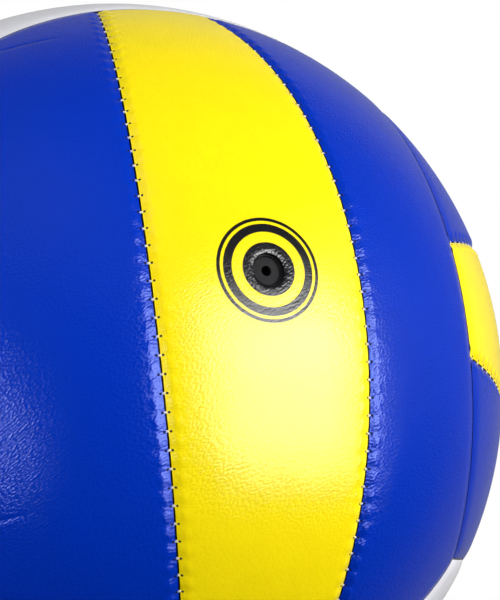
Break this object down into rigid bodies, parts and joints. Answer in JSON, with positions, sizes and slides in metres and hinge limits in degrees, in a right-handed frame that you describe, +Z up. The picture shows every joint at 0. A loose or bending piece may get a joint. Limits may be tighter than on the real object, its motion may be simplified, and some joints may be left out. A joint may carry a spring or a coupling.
{
  "type": "volleyball",
  "caption": "Indoor volleyball of sewn leather strips in crossed groups over an air bladder, with a needle valve in one centre strip.",
  "frame": {"origin": "centre of the ball", "axes": "+Z up along the valve group's strips, -Y out of the valve's face, +X to the right seen from the valve"},
  "size_m": [0.21, 0.2099, 0.21],
  "materials": {
    "blue_leather": "semi-gloss grained",
    "yellow_leather": "semi-gloss grained",
    "white_leather": "semi-gloss grained",
    "thread": "twisted polyester thread",
    "bladder_rubber": "matt",
    "valve_rubber": "matt"
  },
  "bodies": {
    "ball": {"back_centre_panel": "yellow_leather", "back_left_panel": "blue_leather", "back_right_panel": "blue_leather", "back_seam_thread": "thread", "bladder": "bladder_rubber", "bottom_back_panel": "white_leather", "bottom_centre_panel": "white_leather", "bottom_front_panel": "white_leather", "bottom_seam_thread": "thread", "front_centre_panel": "yellow_leather", "front_left_panel": "blue_leather", "front_right_panel": "blue_leather", "front_seam_thread": "thread", "left_centre_panel": "yellow_leather", "left_lower_panel": "blue_leather", "left_seam_thread": "thread", "left_upper_panel": "blue_leather", "right_centre_panel": "yellow_leather", "right_lower_panel": "blue_leather", "right_seam_thread": "thread", "right_upper_panel": "blue_leather", "top_back_panel": "white_leather", "top_centre_panel": "white_leather", "top_front_panel": "white_leather", "top_seam_thread": "thread", "valve_housing": "valve_rubber"},
    "valve": {"valve_core": "valve_rubber"}
  },
  "joints": [
    {"name": "valve_pull", "type": "slide", "parent": "ball", "child": "valve", "axis": [0.0105, -0.9996, 0.027], "range_m": [0, 0.03]}
  ]
}
